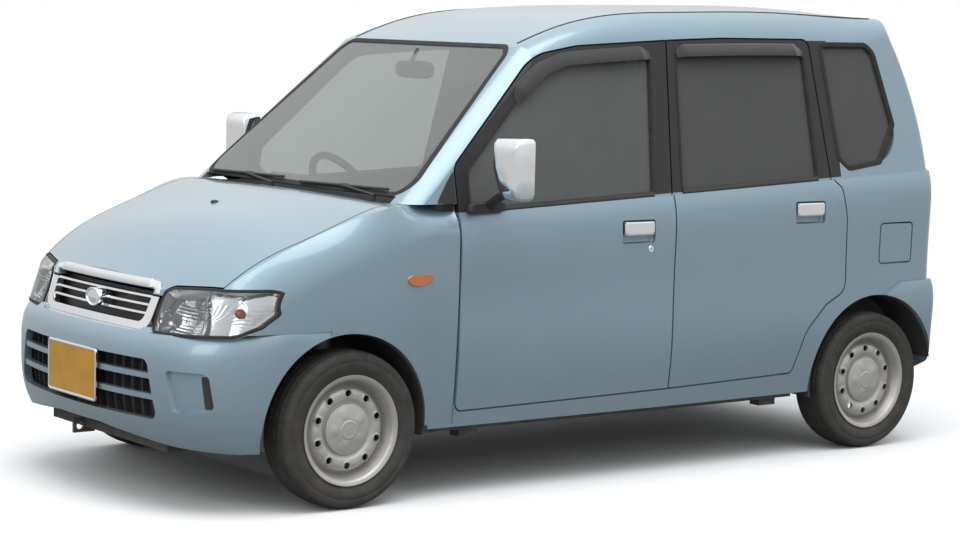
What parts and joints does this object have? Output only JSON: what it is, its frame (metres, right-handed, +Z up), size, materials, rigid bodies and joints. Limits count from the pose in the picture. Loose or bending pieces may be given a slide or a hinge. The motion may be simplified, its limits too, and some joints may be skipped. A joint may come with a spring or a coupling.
{
  "type": "kei car",
  "caption": "Tall boxy small car with hinged side doors, a side-hung tailgate, a chrome slatted grille and steered front wheels.",
  "frame": {"origin": "on the ground, midway along and across the car", "axes": "+X forward, +Y to the car's left, +Z up"},
  "size_m": [3.396, 1.856, 1.664],
  "materials": {
    "paint": "light metallic blue",
    "underbody": "matt sealer",
    "black_plastic": "grained",
    "chrome": "polished",
    "clear_lens": "clear",
    "reflector": "bright",
    "red_lens": "clear red",
    "glass": "green tint",
    "privacy_glass": "smoked",
    "seat_fabric": "woven",
    "trim": "grained",
    "cast_metal": "rough",
    "chassis_black": "satin",
    "bare_steel": "dull",
    "tyre": "worn",
    "wheel_silver": "silver"
  },
  "bodies": {
    "body": {"body_side_left": "paint", "body_side_right": "paint", "roof": "paint", "fender_left": "paint", "fender_right": "paint", "front_bumper": "paint", "rear_bumper": "paint", "floor_pan": "underbody", "firewall": "underbody", "cowl": "black_plastic", "front_panel": "black_plastic", "grille": "chrome", "headlamp_lenses": "clear_lens", "headlamp_units": "reflector", "tail_lamps": "red_lens", "windscreen": "glass", "quarter_windows": "privacy_glass", "front_seats": "seat_fabric", "rear_seat": "seat_fabric", "dashboard": "trim", "wipers": "black_plastic", "engine": "cast_metal", "front_subframe": "chassis_black", "rear_axle": "chassis_black", "fuel_tank": "chassis_black", "exhaust": "bare_steel"},
    "door_front_left": {"door_front_left": "paint", "glass_front_left": "glass", "mirror_left": "chrome"},
    "door_front_right": {"door_front_right": "paint", "glass_front_right": "glass", "mirror_right": "chrome"},
    "door_rear_left": {"door_rear_left": "paint", "glass_rear_left": "privacy_glass"},
    "door_rear_right": {"door_rear_right": "paint", "glass_rear_right": "privacy_glass"},
    "tailgate": {"tailgate": "paint", "glass_tailgate": "privacy_glass"},
    "bonnet": {"bonnet": "paint"},
    "fuel_lid": {"fuel_lid": "paint"},
    "steering_wheel": {"steering_wheel": "black_plastic"},
    "knuckle_left": {"knuckle_left": "cast_metal"},
    "knuckle_right": {"knuckle_right": "cast_metal"},
    "wheel_front_left": {"rim_front_left": "wheel_silver", "tyre_front_left": "tyre"},
    "wheel_front_right": {"rim_front_right": "wheel_silver", "tyre_front_right": "tyre"},
    "wheel_rear_left": {"rim_rear_left": "wheel_silver", "tyre_rear_left": "tyre"},
    "wheel_rear_right": {"rim_rear_right": "wheel_silver", "tyre_rear_right": "tyre"}
  },
  "joints": [
    {"name": "door_front_left_hinge", "type": "hinge", "parent": "body", "child": "door_front_left", "pos_m": [0.6505, 0.7315, 0.65], "axis": [0, 0, -1], "range_deg": [0, 62]},
    {"name": "door_rear_left_hinge", "type": "hinge", "parent": "body", "child": "door_rear_left", "pos_m": [-0.2825, 0.7375, 0.65], "axis": [0, 0, -1], "range_deg": [0, 62]},
    {"name": "door_front_right_hinge", "type": "hinge", "parent": "body", "child": "door_front_right", "pos_m": [0.6505, -0.7315, 0.65], "axis": [0, 0, 1], "range_deg": [0, 62]},
    {"name": "door_rear_right_hinge", "type": "hinge", "parent": "body", "child": "door_rear_right", "pos_m": [-0.2825, -0.7375, 0.65], "axis": [0, 0, 1], "range_deg": [0, 62]},
    {"name": "tailgate_hinge", "type": "hinge", "parent": "body", "child": "tailgate", "pos_m": [-1.6975, -0.593, 0.7], "axis": [0.1291, 0, 0.9916], "range_deg": [0, 85]},
    {"name": "bonnet_hinge", "type": "hinge", "parent": "body", "child": "bonnet", "pos_m": [0.8905, 0, 0.993], "axis": [0, -1, 0], "range_deg": [0, 50]},
    {"name": "fuel_lid_hinge", "type": "hinge", "parent": "body", "child": "fuel_lid", "pos_m": [-1.3195, 0.7325, 0.78], "axis": [0, 0, -1], "range_deg": [0, 90]},
    {"name": "steer_left", "type": "hinge", "parent": "body", "child": "knuckle_left", "pos_m": [1.0625, 0.571, 0.26], "axis": [0, -0.2055, 0.9787], "range_deg": [-33, 33]},
    {"name": "steer_right", "type": "hinge", "parent": "body", "child": "knuckle_right", "pos_m": [1.0625, -0.571, 0.26], "axis": [0, 0.2055, 0.9787], "range_deg": [-33, 33]},
    {"name": "steering_wheel_turn", "type": "hinge", "parent": "body", "child": "steering_wheel", "pos_m": [0.4075, -0.33, 0.925], "axis": [-0.848, 0, 0.5299], "range_deg": [-530, 530]},
    {"name": "wheel_front_left_spin", "type": "hinge", "parent": "knuckle_left", "child": "wheel_front_left", "pos_m": [1.0625, 0.645, 0.26], "axis": [0, 1, 0], "continuous": true},
    {"name": "wheel_rear_left_spin", "type": "hinge", "parent": "body", "child": "wheel_rear_left", "pos_m": [-1.2975, 0.645, 0.26], "axis": [0, 1, 0], "continuous": true},
    {"name": "wheel_front_right_spin", "type": "hinge", "parent": "knuckle_right", "child": "wheel_front_right", "pos_m": [1.0625, -0.645, 0.26], "axis": [0, 1, 0], "continuous": true},
    {"name": "wheel_rear_right_spin", "type": "hinge", "parent": "body", "child": "wheel_rear_right", "pos_m": [-1.2975, -0.645, 0.26], "axis": [0, 1, 0], "continuous": true}
  ],
  "couplings": [
    {"joint": "steer_right", "follows": "steer_left", "ratio": 1},
    {"joint": "steering_wheel_turn", "follows": "steer_left", "ratio": 16}
  ]
}
